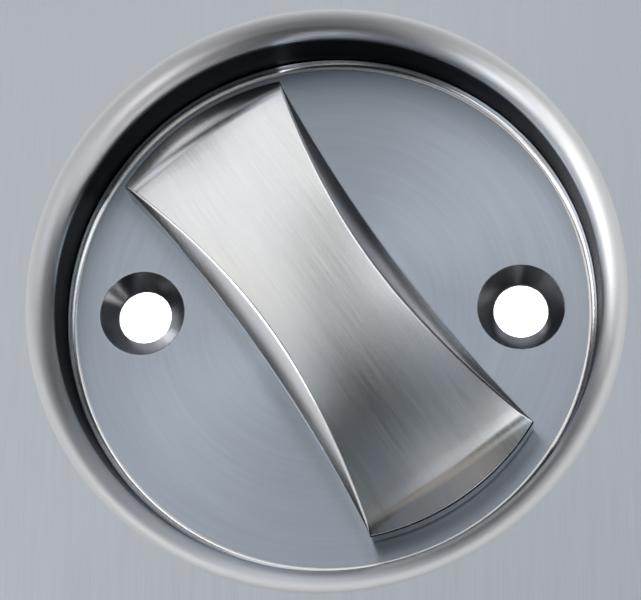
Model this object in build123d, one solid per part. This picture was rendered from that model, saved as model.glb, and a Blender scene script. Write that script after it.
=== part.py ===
from build123d import *
import math
import os

# Sliding door lock: a square stainless face plate with a round recessed cup, a
# waisted thumb turn in the cup, and behind it a mortise case whose hooked bolt
# is swung out through the forend by the turn.
# Millimetres. +X towards the door's closing edge, +Y into the door, +Z up.
# The origin is on the turn's axis, at the rear face of the cup floor, midway
# between the two fixing screw holes.

os.makedirs("parts", exist_ok=True)

# ---------------------------------------------------------------- dimensions
# face plate and cup
PLATE_SIDE = 76.0        # square plate, side length
PLATE_T = 2.0            # plate thickness
PLATE_CORNER_R = 3.0     # corner radius of the outline
CUP_DEPTH = 8.0          # plate front face to cup floor
FLOOR_T = 2.0            # cup floor thickness
CUP_WALL_R = 26.62       # inner wall radius just under the lip
CUP_FOOT_R = 26.42       # inner wall radius at the floor (slight draft)
LIP_R = 2.3              # rounded lip between plate and wall
FOOT_FILLET = 0.8        # small hollow between wall and floor
CUP_OUT_R = 28.5         # outside of the cup
FIX_PITCH = 38.0         # fixing screw hole centres
FIX_HOLE_R = 2.7         # fixing screw hole
FIX_SINK_R = 4.3         # countersink at the floor
FLOOR_HOLE_R = 6.6       # central hole for the bush

# thumb turn
TURN_ANGLE = 35.0        # lean of the turn from vertical, towards -X
TURN_END_R = 23.7        # end arcs, about the turn's middle
TURN_WAIST = 8.0         # half width at the waist, outline
TURN_FLARE = 9.56        # half width near the ends, outline
TURN_FLARE_U = 22.0      # where TURN_FLARE is measured
TURN_BASE = 0.35         # underside above the cup floor
TURN_WALL = 3.6          # top of the upright side walls above the floor
TURN_TOP = 5.6           # crest above the floor
TURN_ARCH_R = 170.0      # top curve along the length
TURN_CROWN_R = 90.0      # top curve across the width
SIDE_SLOPE = 41.0        # flank angle above the upright walls, from the floor
END_SLOPE = 15.0         # end bevel angle, from the floor
TURN_SHIFT = -0.3        # the grip stands this far to the left of the axis at rest
HUB_R = 5.0              # hub of the turn
HUB_END = 4.0            # rear end of the hub
GROOVE_R = 4.5           # retaining ring groove
GROOVE_Y = (2.35, 3.45)

SPINDLE = 5.0            # square spindle across flats
SPINDLE_Y = (-1.2, 26.0)

# mortise case
BACKSET = 50.0           # turn axis to the forend's outer face
FOREND_T = 3.0
FOREND_W = 20.0
FOREND_Z = (-62.75, 47.25)
FOREND_SCREW_PITCH = 92.0
FOREND_HOLE_R = 2.25
FOREND_SINK_R = 4.25
CASE_Y = (4.6, 16.6)     # case thickness, front of cover to back
CASE_X = (-15.6, 47.0)
CASE_Z = (-35.5, 20.0)
SHEET = 1.5              # case sheet thickness
SLOT_W, SLOT_H = 10.4, 17.0   # clearance slot for the fixing bolt
HOOK_SLOT_Z = (-33.2, 5.6)
HOOK_SLOT_HALF = 3.2

# mechanism
CRANK_R = 14.0           # follower crank and hook crank, equal arms
HOOK_X = 31.5            # hook pivot on the turn's level
HOOK_Y = (8.8, 13.8)     # hook and follower arm thickness
PIN_R = 2.0              # link pins
RUN = 0.05               # radial running clearance
PIVOT_R = 3.0            # hook pivot pin
REST = 35.0              # rest position, degrees from unlocked
TRAVEL = 90.0            # unlocked to locked

FRONT = -(CUP_DEPTH + FLOOR_T)     # plate front face
FLOOR = -FLOOR_T                   # cup floor face
MID_Y = 0.5 * (CASE_Y[0] + CASE_Y[1])


# ------------------------------------------------------------------- helpers
def cyl(r, y0, y1, x=0.0, z=0.0):
    plane = Plane(origin=(x, y0, z), x_dir=(1, 0, 0), z_dir=(0, 1, 0))
    return Solid.make_cylinder(r, y1 - y0, plane)


def cone(r0, r1, y0, y1, x=0.0, z=0.0):
    plane = Plane(origin=(x, y0, z), x_dir=(1, 0, 0), z_dir=(0, 1, 0))
    return Solid.make_cone(r0, r1, y1 - y0, plane)


def xcyl(r, x0, x1, y=0.0, z=0.0):
    plane = Plane(origin=(x0, y, z), x_dir=(0, 1, 0), z_dir=(1, 0, 0))
    return Solid.make_cylinder(r, x1 - x0, plane)


def xcone(r0, r1, x0, x1, y=0.0, z=0.0):
    plane = Plane(origin=(x0, y, z), x_dir=(0, 1, 0), z_dir=(1, 0, 0))
    return Solid.make_cone(r0, r1, x1 - x0, plane)


def block(x0, x1, y0, y1, z0, z1):
    return Pos(x0, y0, z0) * Solid.make_box(x1 - x0, y1 - y0, z1 - z0)


def spin(profile):
    """Solid of revolution about the turn's axis; profile points are (radius, y)."""
    return revolve(make_face(Polyline(*profile, close=True)), Axis.Y, 360)


def plate_xz(outline, y0, y1):
    """Prism from an outline drawn in X, Z between two depths."""
    return Pos(0, y0, 0) * extrude(Plane.XZ * make_face(outline), amount=y1 - y0, dir=(0, 1, 0))


def polar(r, deg):
    return (r * math.cos(math.radians(deg)), r * math.sin(math.radians(deg)))


def turned(shape, deg, x=0.0, z=0.0):
    """Turn a shape about an axis parallel to Y, anticlockwise seen from the front."""
    return Pos(x, 0, z) * Rot(0, -deg, 0) * Pos(-x, 0, -z) * shape


def solid_of(shape):
    s = shape.solids()
    return s[0] if len(s) == 1 else Compound(children=list(s))


def put(shape, name):
    export_step(solid_of(shape), f"parts/{name}.step")


# ---------------------------------------------------------------- face plate
def face_plate():
    sk = Plane.XZ * RectangleRounded(PLATE_SIDE, PLATE_SIDE, PLATE_CORNER_R)
    sheet = Pos(0, FRONT, 0) * extrude(sk, amount=PLATE_T, dir=(0, 1, 0))
    rim = sheet.faces().sort_by(Axis.Y)[0].edges()
    sheet = fillet(rim, 0.5)
    back = sheet.faces().filter_by(Axis.Y).sort_by(Axis.Y)[-1].edges()
    sheet = chamfer(back, 0.2)
    # outside of the cup, with its rounded bottom corner
    pot = make_face([
        *Polyline((0, FRONT + 0.5), (CUP_OUT_R, FRONT + 0.5), (CUP_OUT_R, -1.5)).edges(),
        *RadiusArc((CUP_OUT_R, -1.5), (CUP_OUT_R - 1.5, 0), -1.5).edges(),
        *Polyline((CUP_OUT_R - 1.5, 0), (0, 0), (0, FRONT + 0.5)).edges(),
    ])
    body = sheet + revolve(pot, Axis.Y, 360)
    # the hollow: rounded lip, slightly tapered wall, small hollow at the floor
    lip_out = CUP_WALL_R + LIP_R
    foot_y = FLOOR - FOOT_FILLET
    hollow = make_face([
        *Polyline((0, FRONT - 3), (lip_out + 0.5, FRONT - 3), (lip_out + 0.5, FRONT), (lip_out, FRONT)).edges(),
        *ThreePointArc(
            (lip_out, FRONT),
            (CUP_WALL_R + LIP_R * (1 - math.sin(math.radians(45))), FRONT + LIP_R * (1 - math.cos(math.radians(45)))),
            (CUP_WALL_R, FRONT + LIP_R),
        ).edges(),
        *Line((CUP_WALL_R, FRONT + LIP_R), (CUP_FOOT_R, foot_y)).edges(),
        *ThreePointArc(
            (CUP_FOOT_R, foot_y),
            (CUP_FOOT_R - FOOT_FILLET * (1 - math.cos(math.radians(45))), FLOOR - FOOT_FILLET * (1 - math.sin(math.radians(45)))),
            (CUP_FOOT_R - FOOT_FILLET, FLOOR),
        ).edges(),
        *Polyline((CUP_FOOT_R - FOOT_FILLET, FLOOR), (0, FLOOR), (0, FRONT - 3)).edges(),
    ])
    body = body - revolve(hollow, Axis.Y, 360)
    body = body - cyl(FLOOR_HOLE_R, FLOOR - 1, 1)
    sink = FIX_SINK_R - FIX_HOLE_R
    for s in (-1, 1):
        x = s * FIX_PITCH / 2
        body = body - cyl(FIX_HOLE_R, FLOOR - 1, 1, x)
        body = body - cone(FIX_SINK_R + 0.1, FIX_HOLE_R, FLOOR - 0.1, FLOOR + sink, x)
    return body


# ---------------------------------------------------------------- thumb turn
def turn_knob():
    # built upright (length along Z), then leaned over
    base_y = FLOOR - TURN_BASE
    wall_y = FLOOR - TURN_WALL
    top_y = FLOOR - TURN_TOP
    t_end = math.tan(math.radians(END_SLOPE))
    rise = 6.0
    round_body = spin([
        (0, base_y), (TURN_END_R - 0.2, base_y), (TURN_END_R, base_y - 0.2), (TURN_END_R, wall_y),
        (TURN_END_R - rise / t_end, wall_y - rise), (0, wall_y - rise),
    ])
    # crowned and arched top: a barrel cut from a large torus-like ring
    # barrel surface: circle of radius TURN_CROWN_R in X, carried round an
    # arch of radius TURN_ARCH_R about an X axis line behind the plate
    axis_y = top_y + TURN_ARCH_R
    cx = make_face([
        *ThreePointArc(
            (-12, TURN_ARCH_R - (TURN_CROWN_R - math.sqrt(TURN_CROWN_R**2 - 144)), 0),
            (0, TURN_ARCH_R, 0),
            (12, TURN_ARCH_R - (TURN_CROWN_R - math.sqrt(TURN_CROWN_R**2 - 144)), 0),
        ).edges(),
        *Polyline(
            (12, TURN_ARCH_R - (TURN_CROWN_R - math.sqrt(TURN_CROWN_R**2 - 144)), 0),
            (12, TURN_ARCH_R - 12, 0), (-12, TURN_ARCH_R - 12, 0),
            (-12, TURN_ARCH_R - (TURN_CROWN_R - math.sqrt(TURN_CROWN_R**2 - 144)), 0),
        ).edges(),
    ])
    span = 20.0
    barrel = revolve(Rot(span / 2, 0, 0) * cx, Axis.X, -span)
    # the face's +Y radial direction becomes -Y, towards the viewer
    barrel = Pos(0, axis_y, 0) * Rot(180, 0, 0) * barrel
    knob = round_body & barrel
    # waisted sides: a large cone each side, upright at first and then sloping
    r_side = (TURN_FLARE_U**2 + (TURN_FLARE - TURN_WAIST)**2) / (2 * (TURN_FLARE - TURN_WAIST))
    run = rise / math.tan(math.radians(SIDE_SLOPE))
    for s in (-1, 1):
        cx0 = s * (TURN_WAIST + r_side)
        cutter = cyl(r_side, wall_y - 0.001, FLOOR + 2, cx0) + cone(r_side + run, r_side, wall_y - rise, wall_y, cx0)
        knob = knob - cutter
    knob = Pos(TURN_SHIFT, 0, 0) * turned(solid_of(knob), TURN_ANGLE)
    # hub with its retaining ring groove and square socket
    hub = spin([
        (0, base_y - 0.5), (HUB_R, base_y - 0.5), (HUB_R, GROOVE_Y[0]), (GROOVE_R, GROOVE_Y[0]),
        (GROOVE_R, GROOVE_Y[1]), (HUB_R, GROOVE_Y[1]), (HUB_R, HUB_END - 0.3), (HUB_R - 0.3, HUB_END), (0, HUB_END),
    ])
    knob = knob + hub
    h = SPINDLE / 2
    knob = knob - turned(block(-h, h, SPINDLE_Y[0], HUB_END + 1, -h, h), TURN_ANGLE)
    return knob


# ------------------------------------------------------- turn bearing pieces
def turn_bush():
    return spin([
        (HUB_R + RUN, FLOOR), (FLOOR_HOLE_R, FLOOR), (FLOOR_HOLE_R, 0.0), (10.0, 0.0),
        (10.0, 1.0), (HUB_R + RUN, 1.0),
    ])


def turn_washer():
    return spin([(5.3, FLOOR - 0.3), (7.4, FLOOR - 0.3), (7.4, FLOOR), (5.3, FLOOR)])


def retaining_washer():
    return spin([(5.1, 1.0), (8.0, 1.0), (8.0, 1.5), (5.1, 1.5)])


def disc_spring():
    # conical spring ring between the washer and the retaining ring
    return spin([(5.15, 2.0), (7.6, 1.5), (7.6, 1.8), (5.15, 2.3)])


def circlip():
    y0, y1 = GROOVE_Y[0] + 0.05, GROOVE_Y[1] - 0.05
    ring = cyl(6.6, y0, y1) - cyl(GROOVE_R + 0.05, y0 - 1, y1 + 1)
    ring = ring - block(-1.6, 1.6, y0 - 1, y1 + 1, -9, 0)
    for s in (-1, 1):
        ear = cyl(1.35, y0, y1, s * 2.7, -6.5) - cyl(0.6, y0 - 1, y1 + 1, s * 2.7, -6.5)
        neck = block(min(s * 1.6, s * 3.6), max(s * 1.6, s * 3.6), y0, y1, -6.5, -5.3) - cyl(0.6, y0 - 1, y1 + 1, s * 2.7, -6.5)
        ring = ring + (neck - cyl(GROOVE_R + 0.05, y0 - 1, y1 + 1)) + ear
    ring = ring - block(-1.35, 1.35, y0 - 1, y1 + 1, -9, 0)
    return turned(ring, TURN_ANGLE)


def spindle():
    h = SPINDLE / 2
    bar = block(-h, h, SPINDLE_Y[0], SPINDLE_Y[1], -h, h)
    ends = bar.faces().sort_by(Axis.Y)[-1].edges()
    bar = chamfer(ends, 0.5)
    return turned(bar, TURN_ANGLE)


# --------------------------------------------------------------- mortise case
PILLARS = [(-11.7, 16.1), (43.1, 16.1), (-11.7, -31.6), (18.0, -31.6)]
RIVETS_Z = (-41.0, 26.0)
STOPS = []
_s, _off = 11.0, 3.2 + 1.5 + 0.08
for sgn in (1, -1):
    STOPS.append((sgn * (_s + _off) * math.sqrt(0.5), (_s - _off) * math.sqrt(0.5)))


def bolt_slot(y0, y1):
    sk = Plane.XZ * Pos(FIX_PITCH / 2, 0) * Rot(0, 0, 90) * SlotOverall(SLOT_H, SLOT_W)
    return Pos(0, y0, 0) * extrude(sk, amount=y1 - y0, dir=(0, 1, 0))


def lock_case():
    x0, x1 = CASE_X
    y0, y1 = CASE_Y[0] + SHEET, CASE_Y[1]
    z0, z1 = CASE_Z
    tray = block(x0, x1, y0, y1, z0, z1)
    long_edges = [e for e in tray.edges().filter_by(Axis.Y) if e.center().X < 0]
    tray = fillet(long_edges, 2.0)
    tray = tray - block(x0 + SHEET, x1 - SHEET, y0 - 1, y1 - SHEET, z0 + SHEET, z1 - SHEET)
    # front wall runs on above and below the case as fixing tabs
    tray = tray + block(x1 - SHEET, x1, y0 + 0.4, y1 - 0.4, RIVETS_Z[0] - 5, z0 + 1)
    tray = tray + block(x1 - SHEET, x1, y0 + 0.4, y1 - 0.4, z1 - 1, RIVETS_Z[1] + 5)
    tray = tray - block(x1 - SHEET - 1, x1 + 1, MID_Y + 0.7 - HOOK_SLOT_HALF, MID_Y + 0.7 + HOOK_SLOT_HALF, *HOOK_SLOT_Z)
    tray = tray - cyl(6.0 + 0.06, y1 - SHEET - 1, y1 + 1)
    tray = tray - cyl(PIVOT_R, y1 - SHEET - 1, y1 + 1, HOOK_X)
    tray = tray - bolt_slot(y1 - SHEET - 1, y1 + 1)
    for px, pz in PILLARS:
        tray = tray - cyl(1.5, y1 - SHEET - 1, y1 + 1, px, pz)
    for px, pz in STOPS:
        tray = tray - cyl(1.2, y1 - SHEET - 1, y1 + 1, px, pz)
    for rz in RIVETS_Z:
        tray = tray - xcyl(2.0, x1 - SHEET - 1, x1 + 1, MID_Y, rz)
    return tray


def case_cover():
    x0, x1 = CASE_X
    z0, z1 = CASE_Z
    y0, y1 = CASE_Y[0], CASE_Y[0] + SHEET
    lid = block(x0, x1, y0, y1, z0, z1)
    long_edges = [e for e in lid.edges().filter_by(Axis.Y) if e.center().X < 0]
    lid = fillet(long_edges, 2.0)
    lid = lid - cyl(6.0 + 0.06, y0 - 1, y1 + 1)
    lid = lid - cyl(PIVOT_R, y0 - 1, y1 + 1, HOOK_X)
    lid = lid - bolt_slot(y0 - 1, y1 + 1)
    for px, pz in PILLARS:
        lid = lid - cyl(1.4, y0 - 1, y1 + 1, px, pz)
    return lid


def case_pillars():
    out = []
    for px, pz in PILLARS:
        p = cyl(2.0, CASE_Y[0] + SHEET, CASE_Y[1] - SHEET, px, pz)
        p = p + cyl(1.5, CASE_Y[1] - SHEET, CASE_Y[1], px, pz)
        p = p - cyl(1.05, CASE_Y[0], CASE_Y[0] + SHEET + 6.0, px, pz)
        out.append(solid_of(p))
    return Compound(children=out)


def cover_screws():
    out = []
    y = CASE_Y[0]
    for i, (px, pz) in enumerate(PILLARS):
        s = cyl(1.02, y - 0.2, y + SHEET + 5.0, px, pz)
        head = spin([(0, y - 1.5), (1.3, y - 1.5), (2.1, y - 0.9), (2.3, y - 0.4), (2.3, y), (0, y)])
        s = s + Pos(px, 0, pz) * head
        a = 25.0 + 40.0 * i
        for k in (0, 90):
            bar = turned(block(-1.2, 1.2, y - 2, y - 0.8, -0.3, 0.3), a + k)
            s = s - Pos(px, 0, pz) * bar
        out.append(solid_of(s))
    return Compound(children=out)


def forend():
    x0, x1 = BACKSET - FOREND_T, BACKSET
    bar = block(x0, x1, MID_Y - FOREND_W / 2, MID_Y + FOREND_W / 2, *FOREND_Z)
    bar = fillet(bar.edges().filter_by(Axis.X), 1.5)
    bar = chamfer(bar.faces().sort_by(Axis.X)[-1].edges(), 0.3)
    bar = bar - block(x0 - 1, x1 + 1, MID_Y + 0.7 - HOOK_SLOT_HALF, MID_Y + 0.7 + HOOK_SLOT_HALF, *HOOK_SLOT_Z)
    mid = 0.5 * (FOREND_Z[0] + FOREND_Z[1])
    sink = FOREND_SINK_R - FOREND_HOLE_R
    for s in (-1, 1):
        z = mid + s * FOREND_SCREW_PITCH / 2
        bar = bar - xcyl(FOREND_HOLE_R, x0 - 1, x1 + 1, MID_Y, z)
        bar = bar - xcone(FOREND_HOLE_R, FOREND_SINK_R + 0.1, x1 - sink, x1 + 0.1, MID_Y, z)
    for rz in RIVETS_Z:
        bar = bar - xcyl(2.0, x0 - 1, x1 + 1, MID_Y, rz)
        bar = bar - xcone(2.0, 3.5, x1 - 1.5, x1, MID_Y, rz)
    return bar


def forend_rivets():
    out = []
    for rz in RIVETS_Z:
        r = xcyl(2.0, CASE_X[1] - SHEET - 1.0, BACKSET, MID_Y, rz)
        r = r + xcone(2.0, 3.5, BACKSET - 1.5, BACKSET, MID_Y, rz)
        r = r + xcone(2.4, 3.2, CASE_X[1] - SHEET - 1.2, CASE_X[1] - SHEET, MID_Y, rz)
        out.append(solid_of(r))
    return Compound(children=out)


def stop_pins():
    out = []
    for px, pz in STOPS:
        p = cyl(1.5, HOOK_Y[0] - 0.5, CASE_Y[1] - SHEET, px, pz) + cyl(1.2, CASE_Y[1] - SHEET, CASE_Y[1], px, pz)
        out.append(solid_of(p))
    return Compound(children=out)


# ----------------------------------------------------------------- mechanism
CRANK_REST = 45.0 - REST               # crank lean from vertical, towards +X, at rest
CRANK_XZ = (CRANK_R * math.sin(math.radians(CRANK_REST)), CRANK_R * math.cos(math.radians(CRANK_REST)))


def follower():
    y0, y1 = HOOK_Y
    hub = cyl(8.0, y0, y1)
    hub = hub + cyl(6.0, CASE_Y[0] + 0.05, CASE_Y[1] - 0.05)
    hub = hub + cyl(7.0, y1, CASE_Y[1] - SHEET - 0.15)
    arm = block(-3.2, 3.2, y0, y1, 0, CRANK_R) + cyl(3.2, y0, y1, 0, CRANK_R)
    body = turned(hub + arm, -CRANK_REST)
    body = body - cyl(PIN_R, y0 - 1, y1 + 1, *CRANK_XZ)
    h = SPINDLE / 2 + RUN
    body = body - turned(block(-h, h, CASE_Y[0] - 1, CASE_Y[1] + 1, -h, h), TURN_ANGLE)
    return body


def link_pin(x, z):
    y0 = CASE_Y[0] + SHEET + 0.1
    pin = cyl(PIN_R, y0, HOOK_Y[1], x, z)
    return pin + cyl(2.9, y0, y0 + 0.5, x, z)


def drive_link():
    y0, y1 = CASE_Y[0] + SHEET + 0.65, HOOK_Y[0] - 0.25
    cx, cz = CRANK_XZ
    bar = block(cx, cx + HOOK_X, y0, y1, cz - 2.6, cz + 2.6)
    for x in (cx, cx + HOOK_X):
        bar = bar + cyl(3.1, y0, y1, x, cz)
    for x in (cx, cx + HOOK_X):
        bar = bar - cyl(PIN_R + RUN, y0 - 1, y1 + 1, x, cz)
    return bar


def hook_bolt():
    # drawn locked, with its arm along +X from the pivot, then swung back to rest
    y0, y1 = HOOK_Y
    outline = Polyline(
        (-2.0, -6.6), (30.0, -6.0), (32.5, -3.5), (32.5, 8.0), (29.5, 12.0), (23.0, 12.0), (21.0, 9.6),
        (20.6, 4.2), (6.0, 4.4), (-2.0, 6.0), close=True)
    blade = Pos(0, y0, 0) * extrude(Plane.XZ * make_face(outline), amount=y1 - y0, dir=(0, 1, 0))
    blade = blade + cyl(8.0, y0, y1)
    kx, kz = -CRANK_R * math.sqrt(0.5), CRANK_R * math.sqrt(0.5)
    arm = block(-3.2, 3.2, y0, y1, 0, CRANK_R) + cyl(3.2, y0, y1, 0, CRANK_R)
    blade = blade + turned(arm, 45.0)
    side = [e for e in blade.edges() if e.length > 1.0 and (e.center().X > 18.0)
            and (abs(e.center().Y - y0) < 1e-3 or abs(e.center().Y - y1) < 1e-3)]
    blade = chamfer(side, 0.4)
    blade = blade - cyl(PIN_R, y0 - 1, y1 + 1, kx, kz) - cyl(PIVOT_R + RUN, y0 - 1, y1 + 1)
    return Pos(HOOK_X, 0, 0) * turned(blade, REST - TRAVEL)


def hook_pivot_pin():
    return cyl(PIVOT_R, CASE_Y[0], CASE_Y[1], HOOK_X)


def hook_spacer():
    y0 = CASE_Y[0] + SHEET
    return cyl(4.6, y0, y0 + 1.8, HOOK_X) - cyl(PIVOT_R + 0.05, y0 - 1, y0 + 3, HOOK_X)


def hook_disc_spring():
    y0 = CASE_Y[0] + SHEET + 1.8
    ring = spin([(3.15, y0 + 0.5), (5.2, y0), (5.2, y0 + 0.3), (3.15, y0 + 0.8)])
    return Pos(HOOK_X, 0, 0) * ring


def hook_washer():
    y1 = CASE_Y[1] - SHEET
    return cyl(6.0, HOOK_Y[1] + 0.05, y1, HOOK_X) - cyl(PIVOT_R + 0.05, HOOK_Y[1] - 1, y1 + 1, HOOK_X)


put(face_plate(), "face_plate")
put(turn_knob(), "turn_knob")
put(turn_bush(), "turn_bush")
put(turn_washer(), "turn_washer")
put(retaining_washer(), "retaining_washer")
put(disc_spring(), "disc_spring")
put(circlip(), "circlip")
put(spindle(), "spindle")
put(lock_case(), "lock_case")
put(case_cover(), "case_cover")
put(case_pillars(), "case_pillars")
put(cover_screws(), "cover_screws")
put(forend(), "forend")
put(forend_rivets(), "forend_rivets")
put(stop_pins(), "stop_pins")
put(follower(), "follower")
put(link_pin(*CRANK_XZ), "follower_link_pin")
put(link_pin(CRANK_XZ[0] + HOOK_X, CRANK_XZ[1]), "hook_link_pin")
put(drive_link(), "drive_link")
put(hook_bolt(), "hook_bolt")
put(hook_pivot_pin(), "hook_pivot_pin")
put(hook_spacer(), "hook_spacer")
put(hook_disc_spring(), "hook_disc_spring")
put(hook_washer(), "hook_washer")
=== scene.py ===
import bpy
import math
from mathutils import Vector, Matrix
from mathutils.geometry import delaunay_2d_cdt


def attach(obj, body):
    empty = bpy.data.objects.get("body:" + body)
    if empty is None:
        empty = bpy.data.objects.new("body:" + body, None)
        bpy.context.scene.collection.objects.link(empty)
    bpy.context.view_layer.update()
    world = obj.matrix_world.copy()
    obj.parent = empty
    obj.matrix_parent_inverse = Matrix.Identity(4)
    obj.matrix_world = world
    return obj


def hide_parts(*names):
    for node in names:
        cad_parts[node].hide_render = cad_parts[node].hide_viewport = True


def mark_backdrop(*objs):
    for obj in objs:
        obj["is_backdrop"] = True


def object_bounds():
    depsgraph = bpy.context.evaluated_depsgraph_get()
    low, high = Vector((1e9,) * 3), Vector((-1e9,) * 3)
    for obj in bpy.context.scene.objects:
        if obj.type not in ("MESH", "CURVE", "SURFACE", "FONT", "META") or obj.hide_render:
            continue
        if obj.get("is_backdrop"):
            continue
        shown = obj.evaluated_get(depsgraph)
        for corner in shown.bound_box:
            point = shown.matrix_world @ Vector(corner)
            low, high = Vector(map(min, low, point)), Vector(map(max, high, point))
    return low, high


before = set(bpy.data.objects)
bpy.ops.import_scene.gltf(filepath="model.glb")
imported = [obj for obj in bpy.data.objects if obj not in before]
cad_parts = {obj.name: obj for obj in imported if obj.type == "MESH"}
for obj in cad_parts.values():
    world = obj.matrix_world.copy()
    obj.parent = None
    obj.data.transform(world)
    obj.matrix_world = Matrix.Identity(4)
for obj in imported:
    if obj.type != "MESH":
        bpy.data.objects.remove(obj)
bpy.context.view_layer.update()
MM = 0.001

# ------------------------------------------------------------------ sizes, mm
# face plate and cup
SIDE, CORNER_R = 76.0, 3.0
FRONT, PLATE_BACK, FLOOR = -10.0, -8.0, -2.0
WALL_R, FOOT_R, LIP_R, FOOT_FILLET, OUT_R = 26.62, 26.42, 2.3, 0.8, 28.5
FLOOR_HOLE_R, FIX_X, FIX_R, SINK_R = 6.6, 19.0, 2.7, 4.3
# thumb turn
TURN_LEAN, TURN_SHIFT = 35.0, -0.3
END_R, WAIST, FLARE, FLARE_U = 23.7, 8.0, 9.56, 22.0
BASE, WALL_H, TOP_H, ARCH_R, CROWN_R = 0.35, 3.6, 5.6, 170.0, 90.0
SIDE_TAN, END_TAN = math.tan(math.radians(41.0)), math.tan(math.radians(15.0))
HUB_R, HUB_END, GROOVE_R, GROOVE_A, GROOVE_B, SOCKET, SOCKET_Y = 5.0, 4.0, 4.5, 2.35, 3.45, 2.5, -1.2


# ------------------------------------------------------------- surface builder
class Skin:
    """Collects faces with their true surface normals, then makes the mesh."""

    def __init__(self):
        self.verts, self.index, self.faces, self.normals, self.mats = [], {}, [], [], []

    def vert(self, p):
        key = (round(p[0], 5), round(p[1], 5), round(p[2], 5))
        if key not in self.index:
            self.index[key] = len(self.verts)
            self.verts.append(p)
        return self.index[key]

    def face(self, pts, nrm, mat):
        ids = [self.vert(p) for p in pts]
        keep = [i for i in range(len(ids)) if ids[i] != ids[i - 1]]
        if len(keep) < 3 or len(set(ids)) < len(keep):
            return
        a, b, c = (Vector(pts[keep[0]]), Vector(pts[keep[1]]), Vector(pts[keep[2]]))
        order = list(keep)
        if (b - a).cross(c - a).dot(Vector(nrm[keep[0]]) + Vector(nrm[keep[1]]) + Vector(nrm[keep[2]])) < 0:
            order.reverse()
        self.faces.append([ids[i] for i in order])
        self.normals.extend(nrm[i] for i in order)
        self.mats.append(mat)

    def strip(self, rows, mat, closed=True):
        """rows: list of (points, normals), each the same length; quads between neighbours."""
        for (p0, n0), (p1, n1) in zip(rows, rows[1:]):
            n = len(p0)
            for i in range(n if closed else n - 1):
                j = (i + 1) % n
                self.face([p0[i], p0[j], p1[j], p1[i]], [n0[i], n0[j], n1[j], n1[i]], mat)

    def spin(self, profile, angles, mat, x0=0.0):
        """profile: list of (r, y, nr, ny) about the Y axis at x0."""
        rows = []
        for r, y, nr, ny in profile:
            rows.append(([(x0 + r * math.cos(t), y, r * math.sin(t)) for t in angles],
                         [(nr * math.cos(t), ny, nr * math.sin(t)) for t in angles]))
        self.strip(rows, mat)

    def flat(self, outer, holes, y, facing, mat, inside, extra=(), dish=None):
        """Flat region at depth y between an outer loop and holes, lists of (x, z), through any extra points.
        dish gives the slope that its shading leans towards the middle at a radius."""
        def lean(q):
            r = q.length
            g = dish(r) / r if dish and r > 1 else 0.0
            return (-q.x * g, facing, -q.y * g)
        pts, edges = [], []
        for loop in [outer] + holes:
            k = len(pts)
            pts += [Vector((x, z)) for x, z in loop]
            edges += [(k + i, k + (i + 1) % len(loop)) for i in range(len(loop))]
        pts += [Vector(q) for q in extra]
        out = delaunay_2d_cdt(pts, edges, [], 0, 1e-6)
        for f in out[2]:
            c = sum((out[0][i] for i in f), Vector((0, 0))) / len(f)
            if inside(c.x, c.y):
                self.face([(out[0][i].x, y, out[0][i].y) for i in f], [lean(out[0][i]) for i in f], mat)

    def make(self, name, materials):
        me = bpy.data.meshes.new(name)
        me.from_pydata([(x * MM, y * MM, z * MM) for x, y, z in self.verts], [], self.faces)
        for m in materials:
            me.materials.append(m)
        me.polygons.foreach_set("material_index", self.mats)
        me.polygons.foreach_set("use_smooth", [True] * len(self.faces))
        me.update()
        me.normals_split_custom_set([Vector(n).normalized() for n in self.normals])
        o = bpy.data.objects.new(name, me)
        bpy.context.scene.collection.objects.link(o)
        return o


def arc(cr, cy, radius, a0, a1, n, hollow=False):
    """Profile arc about (cr, cy); angles from +r towards +y, normals away from its middle."""
    out = []
    s = -1.0 if hollow else 1.0
    for i in range(n + 1):
        t = math.radians(a0 + (a1 - a0) * i / n)
        out.append((cr + radius * math.cos(t), cy + radius * math.sin(t), s * math.cos(t), s * math.sin(t)))
    return out


def rounded_square(side, radius, angles_extra):
    """Outline points with outward normals, ordered by angle about the middle."""
    h = side / 2
    pts = []
    for qx, qz, a0 in ((1, 1, 0), (-1, 1, 90), (-1, -1, 180), (1, -1, 270)):
        for i in range(17):
            t = math.radians(a0 + 90.0 * i / 16)
            pts.append(((qx * (h - radius) + radius * math.cos(t), qz * (h - radius) + radius * math.sin(t)),
                        (math.cos(t), math.sin(t))))
    have = sorted(math.atan2(p[0][1], p[0][0]) for p in pts)
    for t in angles_extra:
        if min(abs(t - a) for a in have) < 0.004:
            continue
        c, s = math.cos(t), math.sin(t)
        m = h / max(abs(c), abs(s))
        x, z = c * m, s * m
        if max(min(abs(x), abs(z)), 0) > h - radius:
            continue
        n = (math.copysign(1, x), 0) if abs(c) > abs(s) else (0, math.copysign(1, z))
        pts.append(((x, z), n))
    pts.sort(key=lambda q: math.atan2(q[0][1], q[0][0]))
    return pts


def circle(r, n, x0=0.0, phase=0.0):
    return [(x0 + r * math.cos(2 * math.pi * i / n + phase), r * math.sin(2 * math.pi * i / n + phase)) for i in range(n)]


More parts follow.
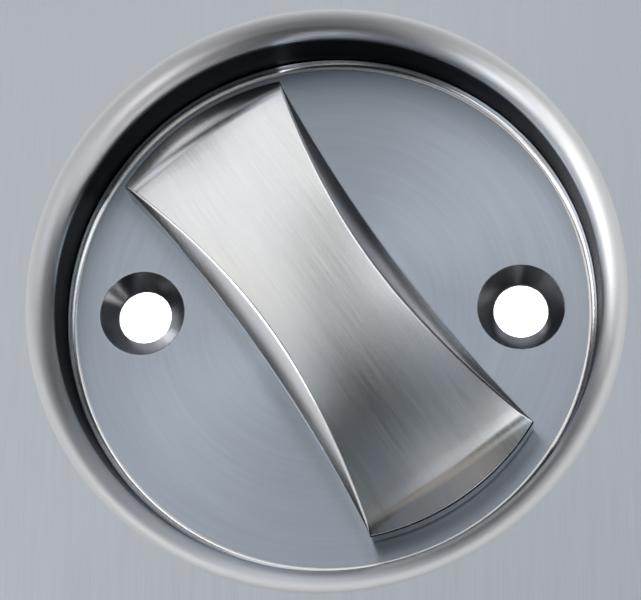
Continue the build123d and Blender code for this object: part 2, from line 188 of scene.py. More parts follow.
# -------------------------------------------------------------- the face plate
def build_face_plate(mats):
    PLATE, CUP, FLOOR_M, SINK = range(4)
    sk = Skin()
    base = [-math.pi + 2 * math.pi * (i + 0.5) / 360 for i in range(360)]
    outline = rounded_square(SIDE, CORNER_R, base)
    angles = [math.atan2(p[1], p[0]) for p, n in outline]
    lip_out = WALL_R + LIP_R
    # front flat, from the lip to the plate's softened rim
    ring = [(lip_out * math.cos(t), FRONT, lip_out * math.sin(t)) for t in angles]
    up_n = [(0, -1, 0)] * len(angles)
    for k0, k1 in ((0.0, 0.35), (0.35, 1.0)):
        rows = []
        for k in (k0, k1):
            rows.append(([tuple(a + (b - a) * k for a, b in zip(q, (p[0] - n[0] * 0.5, FRONT, p[1] - n[1] * 0.5)))
                          for q, (p, n) in zip(ring, outline)], up_n))
        sk.strip(rows, PLATE)
    rows = []
    for i in range(7):
        t = math.radians(15.0 * i)
        rows.append(([(p[0] - n[0] * 0.5 * (1 - math.sin(t)), FRONT + 0.5 * (1 - math.cos(t)), p[1] - n[1] * 0.5 * (1 - math.sin(t)))
                      for p, n in outline],
                     [(n[0] * math.sin(t), -math.cos(t), n[1] * math.sin(t)) for p, n in outline]))
    side_n = [(n[0], 0, n[1]) for p, n in outline]
    sk.strip(rows, PLATE)
    sk.strip([([(p[0], FRONT + 0.5, p[1]) for p, n in outline], side_n), ([(p[0], PLATE_BACK - 0.2, p[1]) for p, n in outline], side_n)], PLATE)
    ch_n = [(n[0] * 0.7071, 0.7071, n[1] * 0.7071) for p, n in outline]
    sk.strip([([(p[0], PLATE_BACK - 0.2, p[1]) for p, n in outline], ch_n),
              ([(p[0] - n[0] * 0.2, PLATE_BACK, p[1] - n[1] * 0.2) for p, n in outline], ch_n)], PLATE)
    back_n = [(0, 1, 0)] * len(angles)
    sk.strip([([(p[0] - n[0] * 0.2, PLATE_BACK, p[1] - n[1] * 0.2) for p, n in outline], back_n),
              ([(OUT_R * math.cos(t), PLATE_BACK, OUT_R * math.sin(t)) for t in angles], back_n)], PLATE)
    # outside of the cup
    sk.spin([(OUT_R, PLATE_BACK, 1, 0), (OUT_R, -1.5, 1, 0)], angles, CUP)
    sk.spin(arc(OUT_R - 1.5, -1.5, 1.5, 0, 90, 8), angles, CUP)
    # lip, wall and foot of the hollow
    sk.spin(arc(lip_out, FRONT + LIP_R, LIP_R, 270, 180, 28), angles, CUP)
    foot_y = FLOOR - FOOT_FILLET
    dr, dy = FOOT_R - WALL_R, foot_y - (FRONT + LIP_R)
    ln = math.hypot(dr, dy)
    wall_n = (-dy / ln, dr / ln)
    sk.spin([(WALL_R + dr * i / 6, FRONT + LIP_R + dy * i / 6, wall_n[0] * (-1), wall_n[1] * (-1) * (-1)) for i in range(7)], angles, CUP)
    sk.spin(arc(FOOT_R - FOOT_FILLET, foot_y, FOOT_FILLET, 0, 90, 12, hollow=True), angles, CUP)
    # floor with the bush hole and the two countersinks, and the rear face
    soft = 0.12
    r_sink = SINK_R + soft * math.tan(math.radians(22.5))
    r_in = FOOT_R - FOOT_FILLET
    floor_outer = [(r_in * math.cos(t), r_in * math.sin(t)) for t in angles]
    holes = [circle(FLOOR_HOLE_R, 96), circle(r_sink, 96, FIX_X), circle(r_sink, 96, -FIX_X)]
    rings = [q for r in (7.4, 8.6, 10.0, 11.6, 13.4, 15.2, 17.0, 18.8, 20.6, 22.2, 23.6, 24.7)
             for q in circle(r, max(48, int(3.6 * r)), 0.0, r)]
    clear = [q for q in rings if math.hypot(abs(q[0]) - FIX_X, q[1]) > r_sink + 0.35]
    clear += [q for r in (r_sink + 0.25, r_sink + 0.7) for x0 in (FIX_X, -FIX_X) for q in circle(r, 60, x0)
              if math.hypot(*q) < r_in - 0.3]
    sk.flat(floor_outer, holes, FLOOR, -1, FLOOR_M,
            lambda x, z: math.hypot(x, z) > FLOOR_HOLE_R - 0.02 and math.hypot(abs(x) - FIX_X, z) > r_sink - 0.02, clear,
            lambda r: 0.0065 * max(0.0, r - 9.0))
    rear_outer = [((OUT_R - 1.5) * math.cos(t), (OUT_R - 1.5) * math.sin(t)) for t in angles]
    holes = [circle(FLOOR_HOLE_R, 96), circle(FIX_R, 96, FIX_X), circle(FIX_R, 96, -FIX_X)]
    sk.flat(rear_outer, holes, 0.0, 1, CUP,
            lambda x, z: math.hypot(x, z) > FLOOR_HOLE_R - 0.02 and math.hypot(abs(x) - FIX_X, z) > FIX_R - 0.02)
    ring96 = [2 * math.pi * i / 96 for i in range(96)]
    sk.spin([(FLOOR_HOLE_R, FLOOR, -1, 0), (FLOOR_HOLE_R, 0.0, -1, 0)], ring96, CUP)
    for x0 in (FIX_X, -FIX_X):
        d = SINK_R - FIX_R
        # softened edge, cone, softened edge, bore
        edge = [(r_sink - soft * math.sin(math.radians(a)), FLOOR + soft * (1 - math.cos(math.radians(a))),
                 -math.sin(math.radians(a)), -math.cos(math.radians(a))) for a in (0, 11.25, 22.5, 33.75, 45)]
        sk.spin(edge, ring96, SINK, x0)
        q = math.sqrt(0.5)
        r1, y1 = edge[-1][0], edge[-1][1]
        r2, y2 = FIX_R + 0.06, FLOOR + d - 0.06
        sk.spin([(r1, y1, -q, -q), ((r1 + r2) / 2, (y1 + y2) / 2, -q, -q), (r2, y2, -q, -q)], ring96, SINK, x0)
        sk.spin([(r2, y2, -q, -q), (FIX_R, FLOOR + d + 0.06, -1, 0)], ring96, SINK, x0)
        sk.spin([(FIX_R, FLOOR + d + 0.06, -1, 0), (FIX_R, 0.0, -1, 0)], ring96, SINK, x0)
    return sk.make("face_plate_skin", mats)


# --------------------------------------------------------------- the thumb turn
def smooth_min(a, b, k):
    h = max(k - abs(a - b), 0.0)
    return min(a, b) - h * h / (4 * k)


R_SIDE = (FLARE_U**2 + (FLARE - WAIST)**2) / (2 * (FLARE - WAIST))


def turn_parts(u, v):
    """Heights of the crown, the flank and the end bevel above the cup floor."""
    top = TOP_H - (ARCH_R - math.sqrt(ARCH_R**2 - u * u)) - (CROWN_R - math.sqrt(CROWN_R**2 - v * v))
    ds = math.hypot(abs(v) - (WAIST + R_SIDE), u) - R_SIDE
    de = END_R - math.hypot(u, v)
    d1 = min(ds, 4.0)
    return top, WALL_H + d1 * (FLANK_A - FLANK_B * d1) + (ds - d1) * 0.5, WALL_H + de * END_TAN, ds


def turn_height(u, v):
    """Height of the grip's upper surface above the cup floor."""
    top, side, end, ds = turn_parts(u, v)
    return smooth_min(smooth_min(top, side, EDGE_K), end, EDGE_K * 0.6)


EDGE_K = 0.14
# the flanks are a little fuller than flat, steeper at the foot
FLANK_A, FLANK_B = 1.10, 0.105


def turn_normal(u, v):
    """The surface's tilt; the crown rolls a little towards its two ends."""
    top, side, end, ds = turn_parts(u, v)
    roll = math.copysign(0.024 * max(0.0, abs(u) - 19.2), u)
    gt = (-u / math.sqrt(ARCH_R**2 - u * u) - roll, -v / math.sqrt(CROWN_R**2 - v * v))
    c = abs(v) - (WAIST + R_SIDE)
    d = math.hypot(c, u)
    sl = FLANK_A - 2 * FLANK_B * min(max(ds, 0.0), 4.0)
    gs = (sl * u / d, sl * math.copysign(1.0, v) * c / d)
    r = max(math.hypot(u, v), 1e-6)
    ge = (-END_LEAN * u / r, -END_LEAN * v / r)
    h = min(1.0, max(0.0, 0.5 + 0.5 * (side - top) / EDGE_K))
    low = smooth_min(top, side, EDGE_K)
    k = min(1.0, max(0.0, 0.5 + 0.5 * (end - low) / (EDGE_K * 0.6)))
    gu, gv = (k * (h * gt[i] + (1 - h) * gs[i]) + (1 - k) * ge[i] for i in (0, 1))
    ln = math.sqrt(1 + gu * gu + gv * gv)
    return (-gu / ln, -gv / ln, 1 / ln)


END_LEAN = 0.40
LEAN = math.radians(TURN_LEAN)


def turn_point(u, v, w):
    return (TURN_SHIFT - u * math.sin(LEAN) + v * math.cos(LEAN), FLOOR - w, u * math.cos(LEAN) + v * math.sin(LEAN))


def turn_dir(u, v, w):
    return (-u * math.sin(LEAN) + v * math.cos(LEAN), -w, u * math.cos(LEAN) + v * math.sin(LEAN))


def spread(n, bias):
    """-1..1 in n steps, closer together near the ends."""
    out = []
    for i in range(n + 1):
        t = -1 + 2 * i / n
        out.append((1 - bias) * t + bias * math.sin(t * math.pi / 2))
    return out


def build_turn(mats):
    sk = Skin()
    in_side, in_end = 0.13, 0.2
    rs, ws, re = R_SIDE + in_side, WAIST - in_side, END_R - in_end
    lo, hi = 10.0, END_R
    for _ in range(60):
        m = (lo + hi) / 2
        vm = ws + rs - math.sqrt(rs * rs - m * m)
        if math.hypot(m, vm) < re:
            lo = m
        else:
            hi = m
    uc = lo
    vc = ws + rs - math.sqrt(rs * rs - uc * uc)
    nu, nv = 260, 120
    ss, ts = spread(nu, 0.75), spread(nv, 0.85)
    grid = []
    for s in ss:
        row = []
        for t in ts:
            half = math.sqrt(re * re - (t * vc)**2)
            u = s * half
            v = t * (ws + rs - math.sqrt(rs * rs - (s * uc)**2))
            row.append((u, v, turn_height(u, v), turn_normal(u, v)))
        grid.append(row)
    for i in range(nu):
        for j in range(nv):
            c = [grid[i][j], grid[i + 1][j], grid[i + 1][j + 1], grid[i][j + 1]]
            sk.face([turn_point(*q[:3]) for q in c], [turn_dir(*q[3]) for q in c], 0)
    # walk the boundary: point, outward direction, inset there
    loop = []
    def side_dir(u, v):
        cv = math.copysign(ws + rs, v)
        d = Vector((-u, cv - v))
        d.normalize()
        return (d.x, d.y)
    def end_dir(u, v):
        d = math.hypot(u, v)
        return (u / d, v / d)
    def corner(q, d0, d1, i0, i1):
        for k in range(1, 8):
            f = k / 8
            d = Vector((d0[0] * (1 - f) + d1[0] * f, d0[1] * (1 - f) + d1[1] * f)).normalized()
            loop.append((q, (d.x, d.y), i0 * (1 - f) + i1 * f))
    def run(cells, fn, ins):
        for q in cells:
            loop.append((q, fn(q[0], q[1]), ins))
    right_side = [grid[i][nv] for i in range(nu + 1)]
    far_end = [grid[nu][j] for j in range(nv, -1, -1)]
    left_side = [grid[i][0] for i in range(nu, -1, -1)]
    near_end = [grid[0][j] for j in range(nv + 1)]
    parts = [(right_side, side_dir, in_side), (far_end, end_dir, in_end), (left_side, side_dir, in_side), (near_end, end_dir, in_end)]
    for k, (cells, fn, ins) in enumerate(parts):
        run(cells, fn, ins)
        nxt = parts[(k + 1) % 4]
        q = cells[-1]
        corner(q, fn(q[0], q[1]), nxt[1](q[0], q[1]), ins, nxt[2])
    rows = []
    steps = 6
    outer = []
    for k in range(steps + 1):
        f = k / steps
        pts, nrm = [], []
        for (u, v, w, n), d, ins in loop:
            nb = Vector(n)
            out = Vector((d[0], d[1], 0))
            sb = max(0.0, nb.dot(out))
            ra = ins / max(0.2, 1 - sb)
            c = Vector((u, v, w)) - nb * ra
            nn = (nb * (1 - f) + out * f)
            # equal turns along the arc
            ang = nb.angle(out) if nb.angle(out) > 1e-6 else 1e-6
            nn = (nb * math.sin((1 - f) * ang) + out * math.sin(f * ang)) / math.sin(ang)
            p = c + nn * ra
            pts.append(turn_point(*p))
            nrm.append(turn_dir(*nn))
            if k == steps:
                outer.append(((p.x, p.y, p.z), d))
        rows.append((pts, nrm))
    sk.strip(rows, 0)
    # upright wall, softened foot and underside
    foot = BASE + 0.2
    wn = [turn_dir(d[0], d[1], 0) for p, d in outer]
    sk.strip([([turn_point(*p) for p, d in outer], wn), ([turn_point(p[0], p[1], foot) for p, d in outer], wn)], 0)
    rows = []
    for k in range(4):
        a = math.radians(30 * k)
        rows.append(([turn_point(p[0] - d[0] * 0.2 * (1 - math.cos(a)), p[1] - d[1] * 0.2 * (1 - math.cos(a)), foot - 0.2 * math.sin(a)) for p, d in outer],
                     [turn_dir(d[0] * math.cos(a), d[1] * math.cos(a), -math.sin(a)) for p, d in outer]))
    sk.strip(rows, 0)
    under = [(q[0], q[2]) for q in rows[-1][0]]
    y_base = FLOOR - BASE
    ring = [2 * math.pi * i / 96 for i in range(96)]
    sk.flat(under, [circle(HUB_R, 96)], y_base, 1, 0, lambda x, z: math.hypot(x, z) > HUB_R - 0.02 and inside_turn(x, z, under))
    sk.spin([(HUB_R, y_base, 1, 0), (HUB_R, GROOVE_A, 1, 0)], ring, 0)
    sk.spin([(HUB_R, GROOVE_A, 0, 1), (GROOVE_R, GROOVE_A, 0, 1)], ring, 0)
    sk.spin([(GROOVE_R, GROOVE_A, 1, 0), (GROOVE_R, GROOVE_B, 1, 0)], ring, 0)
    sk.spin([(GROOVE_R, GROOVE_B, 0, -1), (HUB_R, GROOVE_B, 0, -1)], ring, 0)
    sk.spin([(HUB_R, GROOVE_B, 1, 0), (HUB_R, HUB_END - 0.3, 1, 0)], ring, 0)
    q = math.sqrt(0.5)
    sk.spin([(HUB_R, HUB_END - 0.3, q, q), (HUB_R - 0.3, HUB_END, q, q)], ring, 0)
    sq = []
    for cu, cv in ((-1, -1), (1, -1), (1, 1), (-1, 1)):
        x, y, z = turn_point(cu * SOCKET, cv * SOCKET, 0)
        sq.append((x - TURN_SHIFT, z))
    sk.flat(circle(HUB_R - 0.3, 96), [sq], HUB_END, 1, 0,
            lambda x, z: max(abs(-x * math.sin(LEAN) + z * math.cos(LEAN)), abs(x * math.cos(LEAN) + z * math.sin(LEAN))) > SOCKET - 0.01)
    for i in range(4):
        (x0, z0), (x1, z1) = sq[i], sq[(i + 1) % 4]
        n = (-(x0 + x1), 0, -(z0 + z1))
        sk.face([(x0, HUB_END, z0), (x1, HUB_END, z1), (x1, SOCKET_Y, z1), (x0, SOCKET_Y, z0)], [n] * 4, 0)
    sk.face([(x, SOCKET_Y, z) for x, z in sq], [(0, 1, 0)] * 4, 0)
    return sk.make("turn_knob_skin", mats)


def inside_turn(x, z, loop):
    hit = False
    for (x0, z0), (x1, z1) in zip(loop, loop[1:] + loop[:1]):
        if (z0 > z) != (z1 > z) and x < x0 + (z - z0) / (z1 - z0) * (x1 - x0):
            hit = not hit
    return hit


# ------------------------------------------------------------------ the camera
# placed at the photograph's viewing angle: a little to the right and from below
AZ, EL, ROLL, DIST = 5.572, -15.349, 0.448, 175.0
FOCAL_PX, PIC_W, PIC_H = 10.4511 * 175.0, 641.0, 600.0
AIM_PX = (322.16, 288.82)          # where the cup's axis meets the plate's face
a, e = math.radians(AZ), math.radians(EL)
back = Vector((math.sin(a) * math.cos(e), -math.cos(a) * math.cos(e), math.sin(e)))
eye = back * DIST + Vector((0, FRONT, 0))
look = -back
right = look.cross(Vector((0, 0, 1))).normalized()
up = right.cross(look)
r = math.radians(ROLL)
right, up = right * math.cos(r) + up * math.sin(r), up * math.cos(r) - right * math.sin(r)
# swing the camera the last fraction of a degree so that the axis lands on its pixel
dx = (AIM_PX[0] - PIC_W / 2) / FOCAL_PX
dy = (PIC_H / 2 - AIM_PX[1]) / FOCAL_PX
look = (look - right * dx - up * dy).normalized()
right = look.cross(up).normalized()
up = right.cross(look)
cam_data = bpy.data.cameras.new("camera")
cam = bpy.data.objects.new("camera", cam_data)
bpy.context.scene.collection.objects.link(cam)
cam.matrix_world = Matrix((
    (right.x, up.x, -look.x, eye.x * MM),
    (right.y, up.y, -look.y, eye.y * MM),
    (right.z, up.z, -look.z, eye.z * MM),
    (0, 0, 0, 1)))
cam_data.sensor_width = 36.0
cam_data.lens = FOCAL_PX / PIC_W * 36.0
cam_data.clip_start, cam_data.clip_end = 0.005, 20.0
bpy.context.scene.camera = cam


# ------------------------------------------------------------- material nodes
class Nodes:
    """Small helper for building a material's nodes."""

    def __init__(self, name):
        self.mat = bpy.data.materials.new(name)
        self.mat.use_nodes = True
        self.t = self.mat.node_tree
        self.p = self.t.nodes["Principled BSDF"]
        self.x = -300

    def add(self, kind, **props):
        n = self.t.nodes.new(kind)
        n.location = (self.x, 0)
        self.x -= 180
        for k, v in props.items():
            setattr(n, k, v)
        return n

    def link(self, a, b):
        self.t.links.new(a, b)

    def coords(self):
        return self.add("ShaderNodeTexCoord").outputs["Object"]

    def mapping(self, src, scale=(1, 1, 1), rotation=(0, 0, 0), location=(0, 0, 0)):
        m = self.add("ShaderNodeMapping")
        m.inputs["Scale"].default_value = scale
        m.inputs["Rotation"].default_value = rotation
        m.inputs["Location"].default_value = location
        self.link(src, m.inputs["Vector"])
        return m.outputs["Vector"]

    def noise(self, src, scale, detail=2.0, rough=0.5):
        n = self.add("ShaderNodeTexNoise")
        n.inputs["Scale"].default_value = scale
        n.inputs["Detail"].default_value = detail
        n.inputs["Roughness"].default_value = rough
        self.link(src, n.inputs["Vector"])
        return n.outputs["Fac"]

    def math(self, op, a, b=None, c=None, clamp=False):
        n = self.add("ShaderNodeMath", operation=op, use_clamp=clamp)
        for i, v in enumerate((a, b, c)):
            if v is None:
                continue
            if isinstance(v, (int, float)):
                n.inputs[i].default_value = v
            else:
                self.link(v, n.inputs[i])
        return n.outputs[0]

    def vmath(self, op, a, b=None):
        n = self.add("ShaderNodeVectorMath", operation=op)
        for i, v in enumerate((a, b)):
            if v is None:
                continue
            if isinstance(v, (tuple, list)):
                n.inputs[i].default_value = v
            else:
                self.link(v, n.inputs[i])
        return n.outputs[0]

    def remap(self, v, lo, hi, out_lo, out_hi, smooth=False):
        n = self.add("ShaderNodeMapRange")
        if smooth:
            n.interpolation_type = "SMOOTHSTEP"
        n.inputs["From Min"].default_value = lo
        n.inputs["From Max"].default_value = hi
        n.inputs["To Min"].default_value = out_lo
        n.inputs["To Max"].default_value = out_hi
        self.link(v, n.inputs["Value"])
        return n.outputs["Result"]

    def mix_colour(self, fac, c0, c1):
        n = self.add("ShaderNodeMix", data_type="RGBA")
        if isinstance(fac, (int, float)):
            n.inputs["Factor"].default_value = fac
        else:
            self.link(fac, n.inputs["Factor"])
        for key, c in (("A", c0), ("B", c1)):
            s = [i for i in n.inputs if i.name == key and i.type == "RGBA"][0]
            if isinstance(c, (tuple, list)):
                s.default_value = (*c, 1.0)
            else:
                self.link(c, s)
        return [o for o in n.outputs if o.type == "RGBA"][0]

    def xyz(self, src):
        n = self.add("ShaderNodeSeparateXYZ")
        self.link(src, n.inputs[0])
        return n.outputs["X"], n.outputs["Y"], n.outputs["Z"]

    def combine(self, x=0.0, y=0.0, z=0.0):
        n = self.add("ShaderNodeCombineXYZ")
        for k, v in (("X", x), ("Y", y), ("Z", z)):
            if isinstance(v, (int, float)):
                n.inputs[k].default_value = v
            else:
                self.link(v, n.inputs[k])
        return n.outputs[0]

    def to_world(self, src):
        n = self.add("ShaderNodeVectorTransform", vector_type="VECTOR", convert_from="OBJECT", convert_to="WORLD")
        self.link(src, n.inputs[0])
        return n.outputs[0]

    def bump(self, height, strength, distance):
        n = self.add("ShaderNodeBump")
        n.inputs["Strength"].default_value = strength
        n.inputs["Distance"].default_value = distance
        self.link(height, n.inputs["Height"])
        return n.outputs["Normal"]

    def ramp(self, v, stops):
        n = self.add("ShaderNodeValToRGB")
        n.color_ramp.elements[0].position, n.color_ramp.elements[0].color = stops[0][0], (*stops[0][1], 1)
        n.color_ramp.elements[1].position, n.color_ramp.elements[1].color = stops[-1][0], (*stops[-1][1], 1)
        for pos, c in stops[1:-1]:
            el = n.color_ramp.elements.new(pos)
            el.color = (*c, 1)
        self.link(v, n.inputs["Fac"])
        return n.outputs["Color"]


def streaks(m, co, kind, lean=0.0):
    """Fine and broad scratch patterns that follow the way the metal was worked, and the tangent across them."""
    x, y, z = m.xyz(co)
    if kind == "rings":
        rad = m.math("SQRT", m.math("ADD", m.math("MULTIPLY", x, x), m.math("MULTIPLY", z, z)))
        ang = m.math("ARCTAN2", z, x)
        tangent = m.to_world(m.vmath("NORMALIZE", m.combine(x, 0.0, z)))
        turn_x = m.math("COSINE", ang)
        turn_z = m.math("SINE", ang)
        fine = m.combine(m.math("MULTIPLY", rad, 2600.0), m.math("MULTIPLY", turn_x, 1.1), m.math("MULTIPLY", turn_z, 1.1))
        broad = m.combine(m.math("MULTIPLY", rad, 700.0), m.math("MULTIPLY", turn_x, 2.4), m.math("MULTIPLY", turn_z, 2.4))
    elif kind == "z":
        tangent = m.to_world(m.combine(1.0, 0.0, 0.0))
        fine = m.combine(m.math("MULTIPLY", m.math("ADD", x, y), 8000.0), 0.0, m.math("MULTIPLY", z, 160.0))
        broad = m.combine(m.math("MULTIPLY", m.math("ADD", x, y), 900.0), 0.0, m.math("MULTIPLY", z, 45.0))
    else:
        la = math.radians(lean)
        tangent = m.to_world(m.combine(math.cos(la), 0.0, math.sin(la)))
        across = m.math("ADD", m.math("MULTIPLY", x, math.cos(la)), m.math("MULTIPLY", z, math.sin(la)))
        along = m.math("SUBTRACT", m.math("MULTIPLY", z, math.cos(la)), m.math("MULTIPLY", x, math.sin(la)))
        fine = m.combine(m.math("MULTIPLY", across, 7000.0), 0.0, m.math("MULTIPLY", along, 170.0))
        broad = m.combine(m.math("MULTIPLY", across, 900.0), 0.0, m.math("MULTIPLY", along, 70.0))
    return fine, broad, tangent


def worked(name, colour, rough, aniso, kind, tone=0.05, grain=0.10, relief=0.10, lean=0.0, lip_rough=None):
    """Brushed or turned metal. kind is the way the scratches run: z, along, rings."""
    m = Nodes(name)
    p = m.p
    p.inputs["Metallic"].default_value = 1.0
    p.inputs["Anisotropic"].default_value = aniso
    fine, broad, tangent = streaks(m, m.coords(), kind, lean)
    m.link(tangent, p.inputs["Tangent"])
    f1 = m.noise(fine, 1.0, 1.0, 0.5)
    f2 = m.noise(broad, 1.0, 2.0, 0.5)
    both = m.math("ADD", m.math("MULTIPLY", f1, 0.55), m.math("MULTIPLY", f2, 0.45))
    c0 = tuple(c * (1 - tone) for c in colour)
    c1 = tuple(min(1.0, c * (1 + tone)) for c in colour)
    tint = m.mix_colour(m.remap(both, 0.3, 0.7, 0.0, 1.0), c0, c1)
    if lip_rough is not None:
        # painted shade and painted dark reflection: the drawn wall between the lip and the foot is darkened in
        # colour; the lip and the foot keep their colour
        x, down, z = m.xyz(m.coords())
        rad = m.math("SQRT", m.math("ADD", m.math("MULTIPLY", x, x), m.math("MULTIPLY", z, z)))
        shade_free = m.math("MAXIMUM", m.remap(down, -0.0031, -0.0027, 0.0, 1.0), m.remap(rad, 0.0274, 0.0280, 0.0, 1.0))
        painted_shade = m.math("MULTIPLY", m.remap(down, -0.0083, -0.0074, 0.0, 1.0, smooth=True), m.math("SUBTRACT", 1.0, shade_free))
        # mix in the painted shade, a dark copy of the wall's steel colour
        tint = m.mix_colour(painted_shade, tint, tuple(c * 0.13 for c in colour))
    m.link(tint, p.inputs["Base Color"])
    spread = m.remap(both, 0.3, 0.7, 1 - grain, 1 + grain)
    if lip_rough is None:
        m.link(m.math("MULTIPLY", spread, rough), p.inputs["Roughness"])
    else:
        # satin over the lip's crown, smoother down the wall
        depth = m.xyz(m.coords())[1]
        m.link(m.math("MULTIPLY", spread, m.remap(depth, -0.0088, -0.0077, lip_rough, rough, smooth=True)), p.inputs["Roughness"])
    m.link(m.bump(f1, relief, 0.00001), p.inputs["Normal"])
    return m.mat


plate_mat = worked("plate_brushed", (0.735, 0.775, 0.83), 0.50, 0.6, "z", tone=0.05)
wall_mat = worked("cup_lip_and_wall", (0.86, 0.87, 0.88), 0.22, 0.4, "rings", tone=0.03, relief=0.05, lip_rough=0.42)
# the lip and wall's grazing reflections are tinted darker; the drawn wall's darker colour is painted shade, set in
# worked()
wall_mat.node_tree.nodes["Principled BSDF"].inputs["Specular Tint"].default_value = (0.28, 0.28, 0.29, 1)
floor_mat = worked("cup_floor_turned", (0.54, 0.612, 0.70), 0.33, 0.75, "rings", tone=0.05, grain=0.05, relief=0.02)
# painted shade: the countersinks get a darker colour than the floor steel, for the shade in these recesses; their
# grazing reflections are tinted darker too
sink_mat = worked("countersink", (0.30, 0.31, 0.335), 0.20, 0.2, "rings", tone=0.03)
sink_mat.node_tree.nodes["Principled BSDF"].inputs["Specular Tint"].default_value = (0.40, 0.40, 0.42, 1)
turn_mat = worked("turn_brushed", (0.77, 0.785, 0.80), 0.20, 0.65, "along", tone=0.06, relief=0.018, lean=TURN_LEAN)


def plain_metal(name, colour, rough, scale=900.0, spread=0.12, vary=0.07):
    m = Nodes(name)
    p = m.p
    p.inputs["Metallic"].default_value = 1.0
    co = m.coords()
    n1 = m.noise(co, scale, 4.0, 0.6)
    n2 = m.noise(co, scale * 0.12, 3.0, 0.5)
    mixv = m.math("ADD", m.math("MULTIPLY", n1, 0.5), m.math("MULTIPLY", n2, 0.5))
    c0 = tuple(c * (1 - spread) for c in colour)
    c1 = tuple(min(1, c * (1 + spread)) for c in colour)
    m.link(m.mix_colour(m.remap(mixv, 0.3, 0.7, 0, 1), c0, c1), p.inputs["Base Color"])
    m.link(m.remap(mixv, 0.3, 0.7, rough * (1 - vary), rough * (1 + vary)), p.inputs["Roughness"])
    m.link(m.bump(n1, 0.2, 0.00002), p.inputs["Normal"])
    return m.mat


def plain_plastic(name, colour, rough):
    m = Nodes(name)
    co = m.coords()
    n1 = m.noise(co, 1500.0, 3.0, 0.5)
    c0 = tuple(c * 0.9 for c in colour)
    c1 = tuple(c * 1.1 for c in colour)
    m.link(m.mix_colour(n1, c0, c1), m.p.inputs["Base Color"])
    m.link(m.remap(n1, 0.3, 0.7, rough * 0.85, rough * 1.15), m.p.inputs["Roughness"])
    m.link(m.bump(n1, 0.15, 0.00002), m.p.inputs["Normal"])
    return m.mat


def paint(node, material):
    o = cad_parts[node]
    o.data.materials.clear()
    o.data.materials.append(material)


zinc = plain_metal("zinc", (0.68, 0.70, 0.72), 0.28, 1500.0, 0.06)
case_mat = plain_metal("case_zinc", (0.60, 0.62, 0.65), 0.34, 1600.0, 0.05)
spring = plain_metal("spring_steel", (0.30, 0.30, 0.32), 0.35)
cast = plain_metal("cast_zinc", (0.46, 0.47, 0.48), 0.50, 1400.0, 0.12, 0.2)
brass = plain_metal("brass", (0.75, 0.56, 0.26), 0.28)
hook_mat = plain_metal("hook_nickel", (0.64, 0.65, 0.66), 0.26, 1500.0, 0.05)
nylon = plain_plastic("nylon", (0.05, 0.05, 0.055), 0.45)
forend_mat = worked("forend_brushed", (0.68, 0.70, 0.73), 0.36, 0.6, "z")
for n in ("lock_case", "case_cover"):
    paint(n, case_mat)
for n in ("case_pillars", "cover_screws", "stop_pins", "follower_link_pin", "hook_link_pin", "drive_link", "hook_pivot_pin", "spindle"):
    paint(n, zinc)
for n in ("retaining_washer", "disc_spring", "circlip", "hook_disc_spring"):
    paint(n, spring)
paint("follower", cast)
for n in ("hook_spacer", "hook_washer"):
    paint(n, brass)
paint("hook_bolt", hook_mat)
for n in ("turn_bush", "turn_washer"):
    paint(n, nylon)
for n in ("forend", "forend_rivets"):
    paint(n, forend_mat)

plate = build_face_plate([plate_mat, wall_mat, floor_mat, sink_mat])
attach(plate, "lock_body")
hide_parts("face_plate")
turn = build_turn([turn_mat])
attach(turn, "turn")
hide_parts("turn_knob")


# ------------------------------------------------------------------ the stage
def softbox(az, el, wide, high, glow, colour=(1, 1, 1), far=0.7):
    """A soft card seen from the cup at that azimuth and elevation in front of the plate, wide by high degrees."""
    a, e = math.radians(az), math.radians(el)
    to = Vector((math.sin(a) * math.cos(e), -math.cos(a) * math.cos(e), math.sin(e)))
    d = bpy.data.lights.new("softbox", "AREA")
    d.shape = "RECTANGLE"
    d.size = 2 * far * math.tan(math.radians(wide / 2))
    d.size_y = 2 * far * math.tan(math.radians(high / 2))
    d.energy = glow * math.pi * d.size * d.size_y
    d.color = colour
    o = bpy.data.objects.new("softbox", d)
    bpy.context.scene.collection.objects.link(o)
    o.visible_camera = False
    side = Vector((math.cos(a), math.sin(a), 0))
    upward = side.cross(-to)
    if upward.z < 0:
        upward = -upward
    side = upward.cross(to)
    p = to * far + Vector((0, FRONT * MM, 0))
    o.matrix_world = Matrix(((side.x, upward.x, to.x, p.x), (side.y, upward.y, to.y, p.y), (side.z, upward.z, to.z, p.z), (0, 0, 0, 1)))
    return o


world = bpy.data.worlds.new("world")
bpy.context.scene.world = world
world.use_nodes = True
world.node_tree.nodes["Background"].inputs["Color"].default_value = (0.80, 0.84, 0.90, 1)
world.node_tree.nodes["Background"].inputs["Strength"].default_value = 0.7

s = 1.5
floor_me = bpy.data.meshes.new("floor")
floor_me.from_pydata([(-s, -s, -0.0629), (s, -s, -0.0629), (s, s, -0.0629), (-s, s, -0.0629)], [], [(0, 1, 2, 3)])
floor = bpy.data.objects.new("floor", floor_me)
bpy.context.scene.collection.objects.link(floor)
wall_me = bpy.data.meshes.new("wall")
wall_me.from_pydata([(-s, 0.5, -0.0629), (s, 0.5, -0.0629), (s, 0.5, 1.5), (-s, 0.5, 1.5)], [], [(0, 1, 2, 3)])
wall = bpy.data.objects.new("wall", wall_me)
bpy.context.scene.collection.objects.link(wall)
for o, shade in ((floor, (0.26, 0.265, 0.27, 1)), (wall, (0.50, 0.51, 0.52, 1))):
    pale = bpy.data.materials.new("pale_" + o.name)
    pale.use_nodes = True
    pale.node_tree.nodes["Principled BSDF"].inputs["Base Color"].default_value = shade
    pale.node_tree.nodes["Principled BSDF"].inputs["Roughness"].default_value = 0.9
    o.data.materials.append(pale)
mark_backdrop(floor, wall)
for o in (floor, wall):
    o.visible_glossy = False
    o.visible_shadow = False
world.cycles_visibility.glossy = False

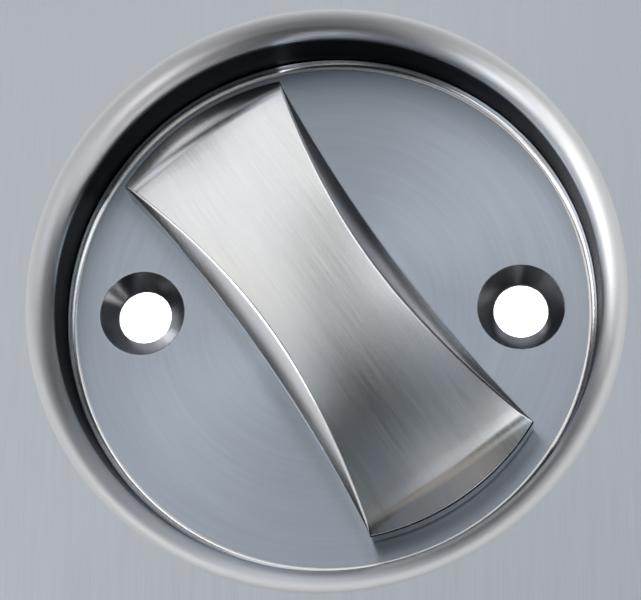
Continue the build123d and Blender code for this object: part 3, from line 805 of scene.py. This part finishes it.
CARDS = [
    (-5, 65, 22.3, 46, 0.638, (0.95, 1.00, 1.09)),
    (55, 65, 33.0, 46, 0.279, (0.95, 1.00, 1.12)),
    (-78, 4, 23.9, 28, 3.328, (0.99, 1.00, 1.01)),
    (-57, 4, 18.0, 28, 1.138, (0.99, 1.00, 1.02)),
    (45, 4, 21.9, 28, 1.101, (0.93, 1.01, 1.08)),
    (-73, -35, 28.1, 20, 2.079, (0.96, 1.01, 1.06)),
    (-73, -17.5, 32.5, 15, 0.702, (0.99, 1.00, 1.04)),
    (-38, -17.5, 34.4, 15, 0.695, (1.04, 0.99, 1.00)),
    (21, -35, 21.4, 20, 0.176, (0.93, 1.01, 1.12)),
    (21, -17.5, 24.8, 15, 0.343, (1.08, 0.99, 0.89)),
    (47, -35, 21.4, 20, 2.700, (1.02, 0.99, 1.02)),
    (75, -17.5, 28.7, 15, 1.394, (1.02, 1.00, 0.96)),
    (-41, -5, 13.9, 10, 4.813, (1.00, 1.00, 0.98)),
    (-41, 35, 11.5, 14, 0.880, (0.98, 1.00, 1.06)),
    (-27, 13.5, 13.6, 9, 1.005, (1.05, 0.99, 0.91)),
    (-27, 23, 12.9, 10, 1.071, (0.99, 1.00, 1.01)),
    (-27, 35, 11.5, 14, 0.472, (1.01, 0.99, 1.04)),
    (-14, 4.5, 12.0, 9, 0.743, (0.95, 1.01, 1.09)),
    (-14, 13.5, 11.7, 9, 0.976, (1.02, 1.00, 0.97)),
    (-14, 23, 11.1, 10, 1.027, (0.99, 1.00, 1.01)),
    (-14, 35, 9.8, 14, 1.063, (1.01, 1.00, 0.99)),
    (-2, -5, 12.0, 10, 0.122, (0.82, 1.03, 1.20)),
    (-2, 23, 11.1, 10, 0.428, (1.02, 1.00, 0.97)),
    (-2, 35, 9.8, 14, 0.999, (1.00, 1.00, 0.98)),
    (11, -5, 13.9, 10, 0.600, (1.00, 1.00, 1.02)),
    (11, 4.5, 14.0, 9, 0.205, (0.90, 1.02, 1.11)),
    (11, 13.5, 13.6, 9, 0.382, (0.93, 1.01, 1.10)),
    (11, 23, 12.9, 10, 1.643, (0.98, 1.00, 1.04)),
    (11, 35, 11.5, 14, 1.824, (1.02, 1.00, 0.97)),
    (26, 4.5, 16.0, 9, 1.634, (1.01, 1.00, 0.99)),
    (-2, 13.5, 11.7, 9, 0.300, (1.00, 1.00, 1.00)),
    (-6, -17.5, 26.8, 15, 0.150, (1.00, 1.00, 1.00)),
]
for az, el, wide, high, glow, colour in CARDS:
    softbox(az, el, wide, high, glow, colour)
# behind the plate, for the case, the forend and the hook
for az, el, wide, high, glow in ((180, 18, 50, 60, 0.75), (128, 8, 34, 70, 0.45), (-130, 12, 36, 70, 0.60), (180, 68, 90, 34, 0.7), (104, 30, 18, 60, 0.9), (-104, 30, 18, 60, 0.9), (180, -48, 90, 30, 0.35)):
    softbox(az, el, wide, high, glow)
back_light = bpy.data.lights.new("backdrop_light", "AREA")
back_light.shape, back_light.size, back_light.size_y, back_light.energy = "RECTANGLE", 0.6, 0.3, 12.0
o = bpy.data.objects.new("backdrop_light", back_light)
bpy.context.scene.collection.objects.link(o)
o.location = (0.0, 0.22, 0.30)
o.rotation_mode = "QUATERNION"
o.rotation_quaternion = (Vector((0.0, 0.5, 0.02)) - o.location).to_track_quat("-Z", "Y")

bpy.context.scene.view_settings.view_transform = "Standard"
bpy.context.scene.view_settings.look = "None"

low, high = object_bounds()
